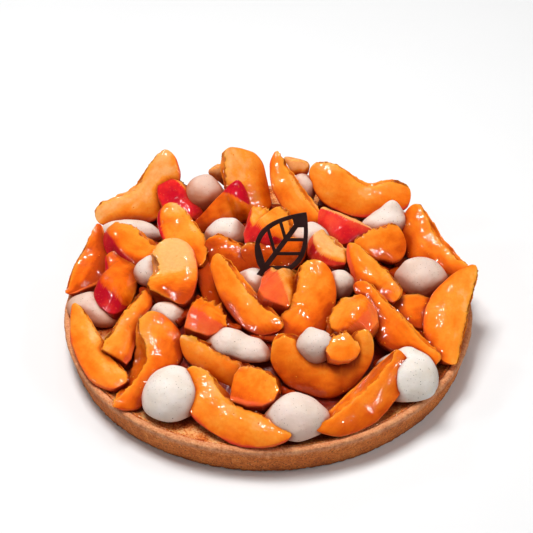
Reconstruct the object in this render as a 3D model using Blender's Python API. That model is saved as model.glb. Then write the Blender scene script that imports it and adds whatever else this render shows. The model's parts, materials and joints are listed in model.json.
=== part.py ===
"""Apricot tart, in metres, +Z up, with its origin at the middle of its underside.

A baked pastry shell holds a glossy apricot filling. Fresh apricot slices are heaped on the
filling, with dollops of vanilla cream between them, and one thin chocolate leaf stands on top.
The front of the tart faces -Y.
"""

import math
from collections import namedtuple

import bmesh
import bpy
from mathutils import Matrix, Vector

MM = 0.001

# The clear space left where one piece touches another.
TOUCH = 0.4 * MM

# Pastry shell
FOOT_RADIUS = 100 * MM
RIM_RADIUS = 103 * MM
SHELL_HEIGHT = 16.3 * MM
RIM_WIDTH = 3.6 * MM
FOOT_ROUNDING = 1.2 * MM
FLOOR_THICKNESS = 3.5 * MM
SHELL_STEPS = 72

# Filling, level at the rim and mounded in the middle, where the fruit is heaped
FILLING_LEVEL = 13.6 * MM
FILLING_RISE = 15 * MM
MOUND_FOOT_RADIUS = 96 * MM
MOUND_TOP_RADIUS = 40 * MM
FILLING_STEPS = 40
FILLING_RINGS = 7

# Apricot slices
SLICE_STATIONS = 8
SKIN_TURNS = (-1, -0.36, 0.36, 1)
SLICE_END = 0.01
SLICE_FULLNESS = 2.4
STONE_HALF_LENGTH = 0.34
CUT_EDGE = 0.9 * MM

# A piece counts as in front of another by its height less this much of its distance back
BACK_WEIGHT = 1.2

# Cream
DOLLOP_SEGMENTS = 12
DOLLOP_RINGS = 8

# Chocolate leaf
LEAF_LENGTH = 37 * MM
LEAF_WIDTH = 25 * MM
LEAF_STROKE = 2.6 * MM
LEAF_THICKNESS = 2 * MM
LEAF_VEIN_RISE = 0.75
LEAF_CELLS = 3
LEAF_STEM = 9 * MM
LEAF_FOOT = Vector((-3, -3, 41)) * MM
LEAF_LEAN = 38
LEAF_TURN = -38

# A slice runs from its start to its end, in mm, along the line where its two cut faces meet. Roll
# turns its skin round that line, from straight up, in degrees. Height is from that line to the
# skin, notch is how deep the stone's hollow is, wedge is the angle between the cut faces, kept is
# how much of the slice's length was left when it was cut across, and ends is how pointed its two
# ends are, from 0.4, blunt, to 1, pointed.
Slice = namedtuple("Slice", "name start end roll height notch wedge kept ends")
SLICES = [
    # Back left, leaning on the rim
    Slice("01", (-89, 67, 28), (-52, 88, 50), 165, 23, 7, 65, 1, (0.5, 0.45)),
    Slice("02", (-54, 80, 39), (-33, 55, 28), 65, 14, 1, 80, 1, (0.6, 0.6)),
    Slice("03", (-49, 54, 43), (-31, 14, 38), 135, 17, 1, 65, 1, (0.45, 0.6)),
    # Left side
    Slice("04", (-81, 46, 33), (-53, 30, 36), 140, 20, 6, 75, 1, (0.5, 0.45)),
    Slice("05", (-49, 18, 47), (-51, -21, 36), -150, 17, 6, 90, 1, (0.45, 0.45)),
    Slice("06", (-89, 52, 31), (-104, 7, 23), -130, 17, 0, 60, 1, (0.6, 0.6)),
    Slice("07", (-70, 27, 32), (-67, -4, 24), 85, 19, 2, 75, 0.6, (0.6, 0.6)),
    Slice("08", (-96, -10, 28), (-68, -58, 21), 135, 14.5, 4, 65, 1, (0.6, 0.5)),
    Slice("09", (-58, -9, 36), (-79, -42, 26), -145, 18, 0, 75, 0.75, (0.6, 0.6)),
    Slice("10", (-59, -25, 36), (-74, -75, 19), -135, 27, 8, 65, 1, (0.4, 0.6)),
    # Front left and the middle
    Slice("11", (-42, -38, 36), (2, -66, 28), 170, 20, 3, 75, 1, (0.5, 0.6)),
    Slice("12", (7, -66, 32), (-16, -61, 31), -140, 19, 1, 80, 0.65, (0.6, 0.6)),
    Slice("13", (-37, -62, 32), (9, -99, 23), 150, 18, 4, 65, 1, (0.4, 0.8)),
    Slice("14", (-41, -22, 37), (-21, -21, 37), 100, 17, 2, 95, 0.7, (0.5, 0.6)),
    Slice("15", (-23, 3, 48), (7, -39, 37), 155, 19, 4, 75, 1, (0.45, 0.45)),
    Slice("16", (-36, 13, 35), (-22, -22, 29), 120, 14, 1, 70, 1, (0.6, 0.6)),
    Slice("17", (-32, 23, 41), (-2, 8, 38), 165, 20, 2, 75, 1, (0.45, 0.5)),
    Slice("18", (-8, 12, 39), (22, 22, 41), 160, 16, 1, 75, 1, (0.5, 0.5)),
    # Back, where the slices stand up
    Slice("19", (-8, 46, 47), (17, 28, 44), 140, 23, 1, 80, 0.7, (0.5, 0.6)),
    Slice("20", (-35, 49, 31), (-8, 54, 36), -30, 17, 2, 75, 1, (0.5, 0.6)),
    Slice("21", (-20, 86, 52), (-9, 61, 27), -135, 20, 6, 90, 1, (0.35, 0.5)),
    Slice("22", (-30, 85, 40), (-13, 73, 36), -175, 20, 1, 65, 1, (0.5, 0.6)),
    Slice("23", (7, 81, 53), (30, 53, 33), 150, 20, 2, 65, 1, (0.7, 0.45)),
    Slice("24", (27, 46, 42), (55, 32, 38), 95, 15, 1, 75, 1, (0.6, 0.8)),
    Slice("25", (10, 89, 42), (27, 83, 40), -175, 18, 1, 65, 1, (0.4, 0.4)),
    Slice("27", (27, 84, 44), (78, 70, 38), 170, 24, 7, 65, 1, (0.4, 0.4)),
    # Right side and the middle
    Slice("28", (79, 49, 42), (102, 14, 28), 155, 22, 4, 65, 1, (0.5, 0.7)),
    Slice("29", (43, 19, 39), (71, 39, 38), 165, 21, 1, 75, 1, (0.6, 0.45)),
    Slice("30", (40, 13, 45), (66, -19, 36), 140, 15, 0, 70, 1, (0.7, 0.6)),
    Slice("31", (24, 24, 46), (42, 10, 42), 140, 18, 2, 80, 0.75, (0.6, 0.6)),
    Slice("32", (21, -4, 48), (-10, -42, 32), -140, 27, 4, 65, 1, (0.4, 0.7)),
    Slice("33", (7, -2, 43), (14, -23, 37), 95, 15, 1, 90, 0.7, (0.45, 0.6)),
    Slice("34", (46, -20, 42), (28, -41, 37), -120, 16, 2, 80, 0.75, (0.5, 0.6)),
    Slice("35", (41, -17, 42), (82, -54, 25), 140, 14, 0, 70, 1, (0.5, 0.5)),
    Slice("26", (49, -8, 26), (76, -35, 24), 160, 15, 1, 70, 1, (0.5, 0.5)),
    Slice("36", (60, -16, 31), (89, -6, 30), 145, 17, 1, 75, 1, (0.8, 0.5)),
    Slice("37", (105, 7, 34), (91, -49, 20), 110, 22, 0, 60, 1, (0.6, 0.45)),
    # Front right
    Slice("38", (1, -53, 40), (50, -54, 40), 170, 28, 9, 65, 1, (0.4, 0.45)),
    Slice("39", (27, -61, 43), (50, -51, 43), 145, 16, 2, 70, 0.8, (0.5, 0.6)),
    Slice("40", (60, -56, 37), (20, -95, 23), -165, 22, 5, 75, 1, (0.4, 0.8)),
]

# A dollop's middle and its half sizes, in mm, turned about the vertical in degrees. Each one
# stands on the filling.
Dollop = namedtuple("Dollop", "name middle size turn")
DOLLOPS = [
    Dollop("01", (-72, 55, 23), (17, 9, 8), -10),
    Dollop("02", (-33, 71, 34), (11, 11, 10), 0),
    Dollop("03", (-89, -9, 22), (14, 13, 10), 0),
    Dollop("04", (-58, 11, 30), (10, 10, 9), 0),
    Dollop("05", (-49, -21, 28), (9, 9, 8), 0),
    Dollop("06", (-15, -46, 31), (16, 8, 7), -28),
    Dollop("07", (-21, 35, 34), (11, 11, 10), 0),
    Dollop("08", (23, 26, 36), (11, 10, 9), 0),
    Dollop("09", (22, 79, 35), (9, 9, 9), 0),
    Dollop("10", (62, 44, 34), (13, 10, 8), 15),
    Dollop("11", (77, 5, 29), (13, 12, 10), 0),
    Dollop("12", (67, -56, 18), (15, 15, 13), 0),
    Dollop("13", (12, -86, 20), (15.5, 13, 12), 0),
    Dollop("14", (-46, -70, 20), (15, 15.5, 13), 0),
    Dollop("15", (23, -55, 40), (9, 9, 8), 0),
    Dollop("16", (36, -8, 37), (8, 8, 9), 0),
    Dollop("17", (-8, -3, 33), (9, 9, 8), 0),
]


def material(name, colour, roughness):
    """A plain coat of one colour, given as red, green and blue."""
    made = bpy.data.materials.new(name)
    made.use_nodes = True
    shader = made.node_tree.nodes["Principled BSDF"]
    shader.inputs["Base Color"].default_value = (*colour, 1)
    shader.inputs["Roughness"].default_value = roughness
    shader.inputs["Metallic"].default_value = 0
    made.diffuse_color = (*colour, 1)
    return made


def finished(name, bm, coat):
    """The object made from a bmesh, closed, with its faces pointing out."""
    bmesh.ops.remove_doubles(bm, verts=bm.verts, dist=0.001 * MM)
    bmesh.ops.recalc_face_normals(bm, faces=bm.faces)
    mesh = bpy.data.meshes.new(name)
    bm.to_mesh(mesh)
    bm.free()
    mesh.shade_smooth()
    mesh.set_sharp_from_angle(angle=math.radians(40))
    mesh.materials.append(coat)
    made = bpy.data.objects.new(name, mesh)
    bpy.context.scene.collection.objects.link(made)
    return made


def turned(name, profile, steps, coat):
    """A profile of (radius, height) points spun round the Z axis."""
    bm = bmesh.new()
    points = [bm.verts.new((radius, 0, height)) for radius, height in profile]
    line = [bm.edges.new(pair) for pair in zip(points, points[1:])]
    bmesh.ops.spin(
        bm,
        geom=points + line,
        cent=(0, 0, 0),
        axis=(0, 0, 1),
        angle=math.tau,
        steps=steps,
        use_merge=True,
    )
    return finished(name, bm, coat)


def arc(centre, radius, first, last, steps):
    """Points on an arc in the (radius, height) plane, with angles in degrees."""
    angles = [math.radians(first + (last - first) * i / steps) for i in range(steps + 1)]
    return [
        (centre[0] + radius * math.cos(a), centre[1] + radius * math.sin(a)) for a in angles
    ]


def shell_profile():
    """Underside, foot, outer wall, rounded rim, inner wall and floor."""
    rim = RIM_WIDTH / 2
    inner = RIM_RADIUS - RIM_WIDTH
    foot = arc((FOOT_RADIUS - FOOT_ROUNDING, FOOT_ROUNDING), FOOT_ROUNDING, -90, 0, 2)
    top = arc((RIM_RADIUS - rim, SHELL_HEIGHT - rim), rim, 0, 180, 6)
    floor_edge = inner - 1.5 * MM
    return [(0, 0), *foot, *top, (floor_edge, FLOOR_THICKNESS), (0, FLOOR_THICKNESS)]


def filling_height(radius):
    """How high the filling stands at this distance from the middle."""
    share = (MOUND_FOOT_RADIUS - radius) / (MOUND_FOOT_RADIUS - MOUND_TOP_RADIUS)
    share = min(max(share, 0), 1)
    return FILLING_LEVEL + FILLING_RISE * share * share * (3 - 2 * share)


def filling_profile():
    """A disc between the shell's floor and the filling's mounded top."""
    wall = RIM_RADIUS - RIM_WIDTH - TOUCH
    floor_edge = wall - 1.5 * MM
    bottom = FLOOR_THICKNESS + TOUCH
    radii = [wall * (1 - i / FILLING_RINGS) for i in range(FILLING_RINGS + 1)]
    top = [(radius, filling_height(radius)) for radius in radii]
    return [(0, bottom), (floor_edge, bottom), *top]


def slice_frame(piece):
    """Where a slice lies: X along it, Z towards its skin."""
    start = Vector(piece.start) * MM
    end = Vector(piece.end) * MM
    along = (end - start).normalized()
    up = (Vector((0, 0, 1)) - along * along.z).normalized()
    skin = Matrix.Rotation(math.radians(piece.roll), 3, along) @ up
    side = skin.cross(along)
    frame = Matrix((along, side, skin)).transposed().to_4x4()
    frame.translation = start
    return frame, (end - start).length


def slice_section(piece, share, length):
    """One cross-section of a slice: its skin, its two cut faces and the hollow left by the stone."""
    pointed = piece.ends[0] + (piece.ends[1] - piece.ends[0]) * share
    swell = (1 - abs(2 * share - 1) ** SLICE_FULLNESS) ** pointed
    outer = max(piece.height * MM * swell, 1.6 * CUT_EDGE)
    bow = 1 - ((share - 0.5) / STONE_HALF_LENGTH) ** 2
    hollow = piece.notch * MM * math.sqrt(max(bow, 0))
    inner = min(CUT_EDGE + hollow, outer - 0.6 * CUT_EDGE)
    half = math.radians(piece.wedge) / 2
    middle = inner * math.cos(half) + 0.4 * hollow
    polar = [(outer, half * turn) for turn in SKIN_TURNS]
    polar += [(inner, half), (middle, 0), (inner, -half)]
    x = share * length
    return [(x, reach * math.sin(turn), reach * math.cos(turn)) for reach, turn in polar]


def slice_bmesh(piece):
    """A wedge of the fruit, drawn out section by section from its start to its end."""
    frame, kept_length = slice_frame(piece)
    length = kept_length / piece.kept
    last = 1 - SLICE_END if piece.kept == 1 else piece.kept
    bm = bmesh.new()
    face = None
    for station in range(SLICE_STATIONS):
        turn = math.pi * station / (SLICE_STATIONS - 1)
        if piece.kept == 1:
            share = SLICE_END + (last - SLICE_END) * (1 - math.cos(turn)) / 2
        else:
            share = SLICE_END + (last - SLICE_END) * (1 - math.cos(turn / 2))
        points = [frame @ Vector(p) for p in slice_section(piece, share, length)]
        if face is None:
            face = bm.faces.new([bm.verts.new(p) for p in points])
            continue
        made = bmesh.ops.extrude_face_region(bm, geom=[face, *face.edges])["geom"]
        face = next(item for item in made if isinstance(item, bmesh.types.BMFace))
        for vert, point in zip(face.verts, points):
            vert.co = point
    return bm


def dollop_bmesh(piece):
    """A piped blob of cream: a round top with a slight peak, on a foot that reaches the filling."""
    middle = Vector(piece.middle) * MM
    wide, deep, tall = (size * MM for size in piece.size)
    bottom = filling_height(math.hypot(middle.x, middle.y)) - middle.z
    bm = bmesh.new()
    bmesh.ops.create_uvsphere(
        bm, u_segments=DOLLOP_SEGMENTS, v_segments=DOLLOP_RINGS, radius=1
    )
    turn = Matrix.Rotation(math.radians(piece.turn), 3, "Z")
    for vert in bm.verts:
        height = vert.co.z * tall if vert.co.z > 0 else -vert.co.z * bottom
        vert.co = middle + turn @ Vector((vert.co.x * wide, vert.co.y * deep, height))
    return bm


def leaf_half_width(share):
    """Half the leaf's width at this share of its length: broad low down, pointed at the tip."""
    return LEAF_WIDTH / 2 * math.sin(math.pi * share**0.8) ** 0.9


def leaf_outline():
    """The leaf's outer edge with its stem, from the foot up one side and down the other."""
    shares = [i / 14 for i in range(1, 14)]
    right = [(leaf_half_width(s), s * LEAF_LENGTH) for s in shares]
    left = [(-x, y) for x, y in reversed(right)]
    half = LEAF_STROKE / 2
    stem = [(half, -LEAF_STEM), (half, 0.6 * half)]
    return [stem[0], stem[1], *right, (0, LEAF_LENGTH), *left, (-stem[1][0], stem[1][1]),
            (-stem[0][0], stem[0][1])]


def leaf_opening(cell, side):
    """One opening of the leaf, between its midrib, its edge and two side veins that slant up."""
    first = 0.1
    step = (0.8 - first) / LEAF_CELLS
    low = (first + cell * step) * LEAF_LENGTH
    high = low + step * LEAF_LENGTH - LEAF_STROKE * 0.8
    inner = LEAF_STROKE / 2

    def edge(base):
        """Where a line that slants up from the midrib at this height meets the leaf's edge."""
        x = inner
        for _ in range(40):
            share = min((base + LEAF_VEIN_RISE * x) / LEAF_LENGTH, 0.98)
            x = 0.5 * x + 0.5 * max(leaf_half_width(share) - LEAF_STROKE, inner)
        return x, base + LEAF_VEIN_RISE * x

    bottom, top = edge(low), edge(high)
    rim = []
    for i in range(1, 4):
        y = bottom[1] + (top[1] - bottom[1]) * i / 4
        rim.append((leaf_half_width(y / LEAF_LENGTH) - LEAF_STROKE, y))
    points = [(inner, low + LEAF_VEIN_RISE * inner), bottom, *rim, top,
              (inner, high + LEAF_VEIN_RISE * inner)]
    return [(side * x, y) for x, y in points]


def leaf(coat):
    """A flat openwork leaf of dark chocolate, standing on its stem and leaning back."""
    curve = bpy.data.curves.new("chocolate_leaf", "CURVE")
    curve.dimensions = "2D"
    curve.fill_mode = "BOTH"
    curve.extrude = LEAF_THICKNESS / 2
    outlines = [leaf_outline()]
    outlines += [leaf_opening(cell, side) for cell in range(LEAF_CELLS) for side in (1, -1)]
    for outline in outlines:
        spline = curve.splines.new("POLY")
        spline.points.add(len(outline) - 1)
        for point, (x, y) in zip(spline.points, outline):
            point.co = (x, y, 0, 1)
        spline.use_cyclic_u = True
    drawn = bpy.data.objects.new("leaf_curve", curve)
    bpy.context.scene.collection.objects.link(drawn)
    graph = bpy.context.evaluated_depsgraph_get()
    bm = bmesh.new()
    bm.from_mesh(bpy.data.meshes.new_from_object(drawn.evaluated_get(graph)))
    bpy.data.objects.remove(drawn)
    bpy.data.curves.remove(curve)
    lean = Matrix.Rotation(math.radians(90 - LEAF_LEAN), 4, "X")
    place = Matrix.Translation(LEAF_FOOT) @ lean @ Matrix.Rotation(
        math.radians(LEAF_TURN), 4, "Z"
    )
    bm.transform(place)
    return finished("chocolate_leaf", bm, coat)


def swollen(source, name):
    """A cutter: a copy of a piece grown by the space left where pieces touch."""
    bm = bmesh.new()
    bm.from_mesh(source.data)
    bm.normal_update()
    moves = [(vert, vert.normal * TOUCH * min(vert.calc_shell_factor(), 2)) for vert in bm.verts]
    for vert, move in moves:
        vert.co += move
    mesh = bpy.data.meshes.new(name)
    bm.to_mesh(mesh)
    bm.free()
    cutter = bpy.data.objects.new(name, mesh)
    cutter.hide_render = True
    cutter.display_type = "WIRE"
    bpy.context.scene.collection.objects.link(cutter)
    return cutter


def boxes_meet(first, second):
    """Whether two objects' boxes overlap. Their meshes are already in place."""
    a = [Vector(corner) for corner in first.bound_box]
    b = [Vector(corner) for corner in second.bound_box]
    return all(
        min(p[i] for p in a) < max(q[i] for q in b) and min(q[i] for q in b) < max(p[i] for p in a)
        for i in range(3)
    )


def largest_body(bm):
    """Deletes all but the largest body, when a cut has left scraps."""
    bodies = []
    left = set(bm.faces)
    while left:
        body, edge = set(), [left.pop()]
        while edge:
            face = edge.pop()
            body.add(face)
            for near in {f for e in face.edges for f in e.link_faces} & left:
                left.discard(near)
                edge.append(near)
        bodies.append(body)
    if len(bodies) < 2:
        return
    keep = max(bodies, key=lambda body: sum(face.calc_area() for face in body))
    scraps = [face for face in bm.faces if face not in keep]
    bmesh.ops.delete(bm, geom=scraps, context="FACES")


def cut_result(target, cutters, solver):
    """The mesh left when the cutters are taken from the target."""
    for cutter in cutters:
        tool = target.modifiers.new("press", "BOOLEAN")
        tool.operation = "DIFFERENCE"
        tool.solver = solver
        tool.object = cutter
    graph = bpy.context.evaluated_depsgraph_get()
    bm = bmesh.new()
    bm.from_mesh(bpy.data.meshes.new_from_object(target.evaluated_get(graph)))
    target.modifiers.clear()
    bmesh.ops.triangulate(bm, faces=bm.faces)
    bmesh.ops.remove_doubles(bm, verts=bm.verts, dist=0.02 * MM)
    bmesh.ops.dissolve_degenerate(bm, edges=bm.edges, dist=0.02 * MM)
    bmesh.ops.triangulate(bm, faces=bm.faces)
    largest_body(bm)
    sound = bm.faces and all(edge.is_manifold for edge in bm.edges)
    return bm, bool(sound) and bm.calc_volume(signed=True) > 0


def press(target, cutters):
    """Takes from a soft piece what the pieces pressed into it fill."""
    near = [cutter for cutter in cutters if boxes_meet(target, cutter)]
    if not near:
        return
    for solver in ("EXACT", "MANIFOLD"):
        bm, sound = cut_result(target, near, solver)
        if sound:
            break
        print("press", target.name, solver, "not sound")
    bm.to_mesh(target.data)
    bm.free()
    target.data.update()


def nearness(first, last):
    """How far forward and up a piece lies. The nearer one keeps its shape, as seen from the front."""
    middle = (Vector(first) + Vector(last)) / 2
    return middle.z - BACK_WEIGHT * middle.y


def build():
    for obj in list(bpy.data.objects):
        bpy.data.objects.remove(obj)

    pastry = material("baked_pastry", (0.42, 0.17, 0.07), 0.75)
    jelly = material("apricot_jelly", (0.45, 0.12, 0.01), 0.2)
    flesh = material("apricot_flesh", (1.0, 0.26, 0.02), 0.3)
    cream = material("vanilla_cream", (0.75, 0.65, 0.56), 0.45)
    chocolate = material("dark_chocolate", (0.045, 0.014, 0.012), 0.35)

    shell = turned("pastry_shell", shell_profile(), SHELL_STEPS, pastry)
    filling = turned("apricot_filling", filling_profile(), FILLING_STEPS, jelly)
    ornament = leaf(chocolate)
    cutters = [swollen(piece, piece.name + "_cutter") for piece in (shell, filling, ornament)]

    for piece in sorted(SLICES, key=lambda p: nearness(p.start, p.end), reverse=True):
        made = finished("slice_" + piece.name, slice_bmesh(piece), flesh)
        cutter = swollen(made, made.name + "_cutter")
        press(made, cutters)
        cutters.append(cutter)
    for piece in sorted(DOLLOPS, key=lambda p: nearness(p.middle, p.middle), reverse=True):
        made = finished("cream_" + piece.name, dollop_bmesh(piece), cream)
        cutter = swollen(made, made.name + "_cutter")
        press(made, cutters)
        cutters.append(cutter)
    for cutter in cutters:
        bpy.data.objects.remove(cutter)


build()
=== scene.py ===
"""The looks of an apricot tart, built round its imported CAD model.

The file goes through the tart as it is put together: the baked shell, the filling, the fruit, the
cream and the chocolate leaf, then the loose bits, and last the studio with its light and camera.
"""

import json
import math
import random
from collections import namedtuple

import bmesh
import bpy
import numpy as np
from mathutils import Matrix, Vector, noise
from mathutils.bvhtree import BVHTree

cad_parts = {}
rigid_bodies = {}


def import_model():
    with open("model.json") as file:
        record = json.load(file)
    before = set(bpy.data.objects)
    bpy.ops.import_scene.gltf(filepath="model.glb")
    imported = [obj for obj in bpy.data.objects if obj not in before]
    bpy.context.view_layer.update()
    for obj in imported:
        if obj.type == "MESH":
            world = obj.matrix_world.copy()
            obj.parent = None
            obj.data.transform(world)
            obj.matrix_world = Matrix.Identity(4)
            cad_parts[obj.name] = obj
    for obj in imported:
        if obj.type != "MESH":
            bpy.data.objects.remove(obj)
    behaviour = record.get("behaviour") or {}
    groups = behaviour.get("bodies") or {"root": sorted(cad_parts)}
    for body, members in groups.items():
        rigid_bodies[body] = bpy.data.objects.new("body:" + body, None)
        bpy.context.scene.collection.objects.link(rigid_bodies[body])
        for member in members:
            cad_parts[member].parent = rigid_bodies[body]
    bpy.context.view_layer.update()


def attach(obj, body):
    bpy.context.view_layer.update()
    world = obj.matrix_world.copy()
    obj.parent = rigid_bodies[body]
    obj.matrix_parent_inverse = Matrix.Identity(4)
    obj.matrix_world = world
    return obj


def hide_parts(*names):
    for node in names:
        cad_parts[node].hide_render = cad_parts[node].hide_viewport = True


for leftover in list(bpy.data.objects):
    bpy.data.objects.remove(leftover)
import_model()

# Pastry shell
# It is a sweet short pastry, lined into a straight ring, docked and baked until it is golden
# brown. Its wall is matt and crumbly, and fruit glaze was brushed over its rounded rim.
MM = 0.001
FOOT_RADIUS = 100 * MM
RIM_RADIUS = 103 * MM
SHELL_HEIGHT = 16.3 * MM
RIM_WIDTH = 3.6 * MM
FLOOR_THICKNESS = 3.5 * MM
WALL_LOOPS = 34
RIM_LOOPS = 16
SHELL_TURNS = 640


def paint(red, green, blue):
    """A colour given from 0 to 255, as the renderer reads it."""
    shares = [value / 255 for value in (red, green, blue)]
    return (*[v / 12.92 if v < 0.04 else ((v + 0.055) / 1.055) ** 2.4 for v in shares], 1)


def new_coat(name):
    """A material, its node tree and its shader."""
    coat = bpy.data.materials.new(name)
    coat.use_nodes = True
    return coat, coat.node_tree, coat.node_tree.nodes["Principled BSDF"]


def step(tree, kind, sockets, **settings):
    """One node, with each socket given a number, a colour or the socket that feeds it."""
    made = tree.nodes.new("ShaderNode" + kind)
    for name, value in settings.items():
        setattr(made, name, value)
    for name, value in sockets.items():
        if isinstance(value, bpy.types.NodeSocket):
            tree.links.new(value, made.inputs[name])
        else:
            made.inputs[name].default_value = value
    return made


def between(tree, share, first, second):
    """The colour that lies between two others."""
    return step(tree, "Mix", {0: share, 6: first, 7: second}, data_type="RGBA").outputs[2]


def sum_of(tree, first, second, by=1.0):
    """The first number plus the second times an amount."""
    sockets = {0: second, 1: by, 2: first}
    return step(tree, "Math", sockets, operation="MULTIPLY_ADD").outputs[0]


def times(tree, first, second):
    """Two numbers multiplied."""
    return step(tree, "Math", {0: first, 1: second}, operation="MULTIPLY").outputs[0]


def ramped(tree, value, low, high, to_low=0.0, to_high=1.0):
    """A number spread from one range to another."""
    sockets = {"Value": value, "From Min": low, "From Max": high}
    sockets.update({"To Min": to_low, "To Max": to_high})
    return step(tree, "MapRange", sockets).outputs[0]


def place_on_piece(tree):
    """The point on the piece, in metres."""
    return step(tree, "TexCoord", {}).outputs["Object"]


def mottle(tree, size, low=0.0, high=1.0, detail=3.0, where=None):
    """Soft patches about this many millimetres across."""
    sockets = {"Vector": where or place_on_piece(tree), "Scale": 1000 / size, "Detail": detail}
    made = step(tree, "TexNoise", sockets)
    return ramped(tree, made.outputs[0], 0.3, 0.7, low, high)


def relief(tree, height, depth, over=None):
    """A bump of this depth in millimetres."""
    sockets = {"Height": height, "Distance": depth * MM, "Strength": 1.0}
    if over:
        sockets["Normal"] = over
    return step(tree, "Bump", sockets).outputs[0]


def tint(tree, value, stops):
    """A run of colours, each with the number where it stands."""
    made = step(tree, "ValToRGB", {"Fac": value})
    marks = made.color_ramp.elements
    while len(marks) < len(stops):
        marks.new(1)
    for mark, (position, colour) in zip(marks, stops):
        mark.position = position
        mark.color = colour
    return made.outputs[0]


def baked_pastry():
    """Golden brown crumb with open pits, redder and wet with glaze on the rim and inside it."""
    coat, tree, shader = new_coat("baked_pastry")
    place = place_on_piece(tree)
    height = step(tree, "SeparateXYZ", {0: place}).outputs[2]
    crumb = mottle(tree, 0.8, detail=5)
    flake = mottle(tree, 2.4, detail=4)
    bake = mottle(tree, 16, detail=4)
    share = sum_of(tree, times(tree, bake, 0.3), crumb, 0.42)
    wall = tint(
        tree,
        sum_of(tree, share, flake, 0.28),
        [
            (0.18, paint(156, 78, 30)),
            (0.42, paint(200, 104, 40)),
            (0.6, paint(220, 122, 50)),
            (0.85, paint(240, 160, 84)),
        ],
    )
    foot = ramped(tree, height, 0.2 * MM, 2.6 * MM, 1, 0)
    wall = between(tree, times(tree, foot, flake), wall, paint(112, 60, 30))
    pits = step(tree, "TexVoronoi", {"Vector": place, "Scale": 700.0}).outputs[0]
    # Painted shade: the pits, sunk by the bump below, are also darkened as the shade inside them.
    pit = times(tree, ramped(tree, pits, 0.15, 0.35, 1, 0), ramped(tree, flake, 0.3, 0.6, 0, 0.8))
    wall = between(tree, pit, wall, paint(92, 48, 24))
    rim = ramped(tree, sum_of(tree, height, flake, 1.6 * MM), 12.6 * MM, 16 * MM)
    # The rim's glaze is real; its colour is painted lighter than the glaze, as a painted sheen.
    glaze_and_sheen = between(tree, sum_of(tree, times(tree, crumb, 0.6), flake, 0.4), paint(190, 100, 52),
                     paint(244, 178, 126))
    tree.links.new(between(tree, rim, wall, glaze_and_sheen), shader.inputs["Base Color"])
    # On the shell this mask holds only the wet glaze of the rim, and it sets the roughness.
    wet_and_low_shade = times(tree, ramped(tree, height, 13.8 * MM, 15.4 * MM), mottle(tree, 5, 0.5, 1.2))
    tree.links.new(ramped(tree, wet_and_low_shade, 0, 1, 0.85, 0.24), shader.inputs["Roughness"])
    rough = relief(tree, sum_of(tree, times(tree, crumb, 0.6), flake, 0.6), 0.3)
    tree.links.new(relief(tree, pits, 0.14, rough), shader.inputs["Normal"])
    shader.inputs["Specular IOR Level"].default_value = 0.45
    shader.inputs["Subsurface Weight"].default_value = 0.06
    shader.inputs["Subsurface Scale"].default_value = 1.5 * MM
    shader.inputs["Subsurface Radius"].default_value = (1, 0.6, 0.35)
    return coat


def face_outward(bm):
    """Faces that all point out of the piece."""
    bmesh.ops.recalc_face_normals(bm, faces=bm.faces)
    if bm.calc_volume(signed=True) < 0:
        bmesh.ops.reverse_faces(bm, faces=bm.faces)
    bm.normal_update()


def piece_from(bm, name, coat, node):
    """The finished piece that stands for a CAD node."""
    face_outward(bm)
    mesh = bpy.data.meshes.new(name)
    bm.to_mesh(mesh)
    bm.free()
    mesh.shade_smooth()
    mesh.materials.append(coat)
    made = bpy.data.objects.new(name, mesh)
    bpy.context.scene.collection.objects.link(made)
    if node:
        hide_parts(node)
    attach(made, "root")
    return made


def spun(points, turns):
    """A line of (radius, height) points turned right round the upright axis."""
    bm = bmesh.new()
    verts = [bm.verts.new((radius, 0, height)) for radius, height in points]
    line = [bm.edges.new(pair) for pair in zip(verts, verts[1:])]
    bmesh.ops.spin(
        bm,
        geom=verts + line,
        cent=(0, 0, 0),
        axis=(0, 0, 1),
        angle=math.tau,
        steps=turns,
        use_merge=True,
    )
    bmesh.ops.remove_doubles(bm, verts=bm.verts, dist=0.002 * MM)
    return bm


def shell_line():
    """The shell's half section: underside, outer wall, rim, inner wall and floor."""
    half = RIM_WIDTH / 2
    line = [(radius * MM, 0) for radius in (0, 30, 60, 85, 96, 98.9)]
    line += [(FOOT_RADIUS - 0.35 * MM, 0.25 * MM), (FOOT_RADIUS, 1 * MM)]
    for i in range(1, WALL_LOOPS):
        share = i / WALL_LOOPS
        height = 1 * MM + (SHELL_HEIGHT - half - 1 * MM) * share
        line.append((FOOT_RADIUS + (RIM_RADIUS - FOOT_RADIUS) * share, height))
    for i in range(RIM_LOOPS + 1):
        turn = math.pi * i / RIM_LOOPS
        across = RIM_RADIUS - half + half * math.cos(turn)
        line.append((across, SHELL_HEIGHT - half + half * math.sin(turn) ** 0.6))
    inner = RIM_RADIUS - RIM_WIDTH
    for i in range(1, 8):
        share = i / 8
        top = SHELL_HEIGHT - half
        line.append((inner - 1.5 * MM * share, top + (FLOOR_THICKNESS - top) * share))
    line += [(inner - radius * MM, FLOOR_THICKNESS) for radius in (1.6, 5, 20, 50, 80)]
    return [*line, (0, FLOOR_THICKNESS)]


bm = spun(shell_line(), SHELL_TURNS)
for vert in bm.verts:
    spot = vert.co / MM
    out = Vector((spot.x, spot.y, 0))
    if out.length < 90:
        continue
    out.normalize()
    wave = 0.45 * noise.noise(spot / 26) + 0.2 * noise.noise(spot / 7)
    crumb = 0.2 * noise.noise(spot / 1.9) + 0.16 * noise.noise(spot / 0.9)
    if spot.z < 3:
        crumb += 0.7 * noise.noise(spot / 2.3) * (1 - spot.z / 3)
    vert.co += out * (wave + crumb) * MM
    if spot.z > 3:
        lift = 0.35 * noise.noise(spot / 17) + 0.18 * noise.noise(spot / 4)
        vert.co.z += (lift + 0.6 * crumb) * MM * min((spot.z - 3) / 10, 1)
    elif spot.z > 0.2:
        vert.co.z += 0.5 * abs(crumb) * MM
piece_from(bm, "baked_shell", baked_pastry(), "pastry_shell")

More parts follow.
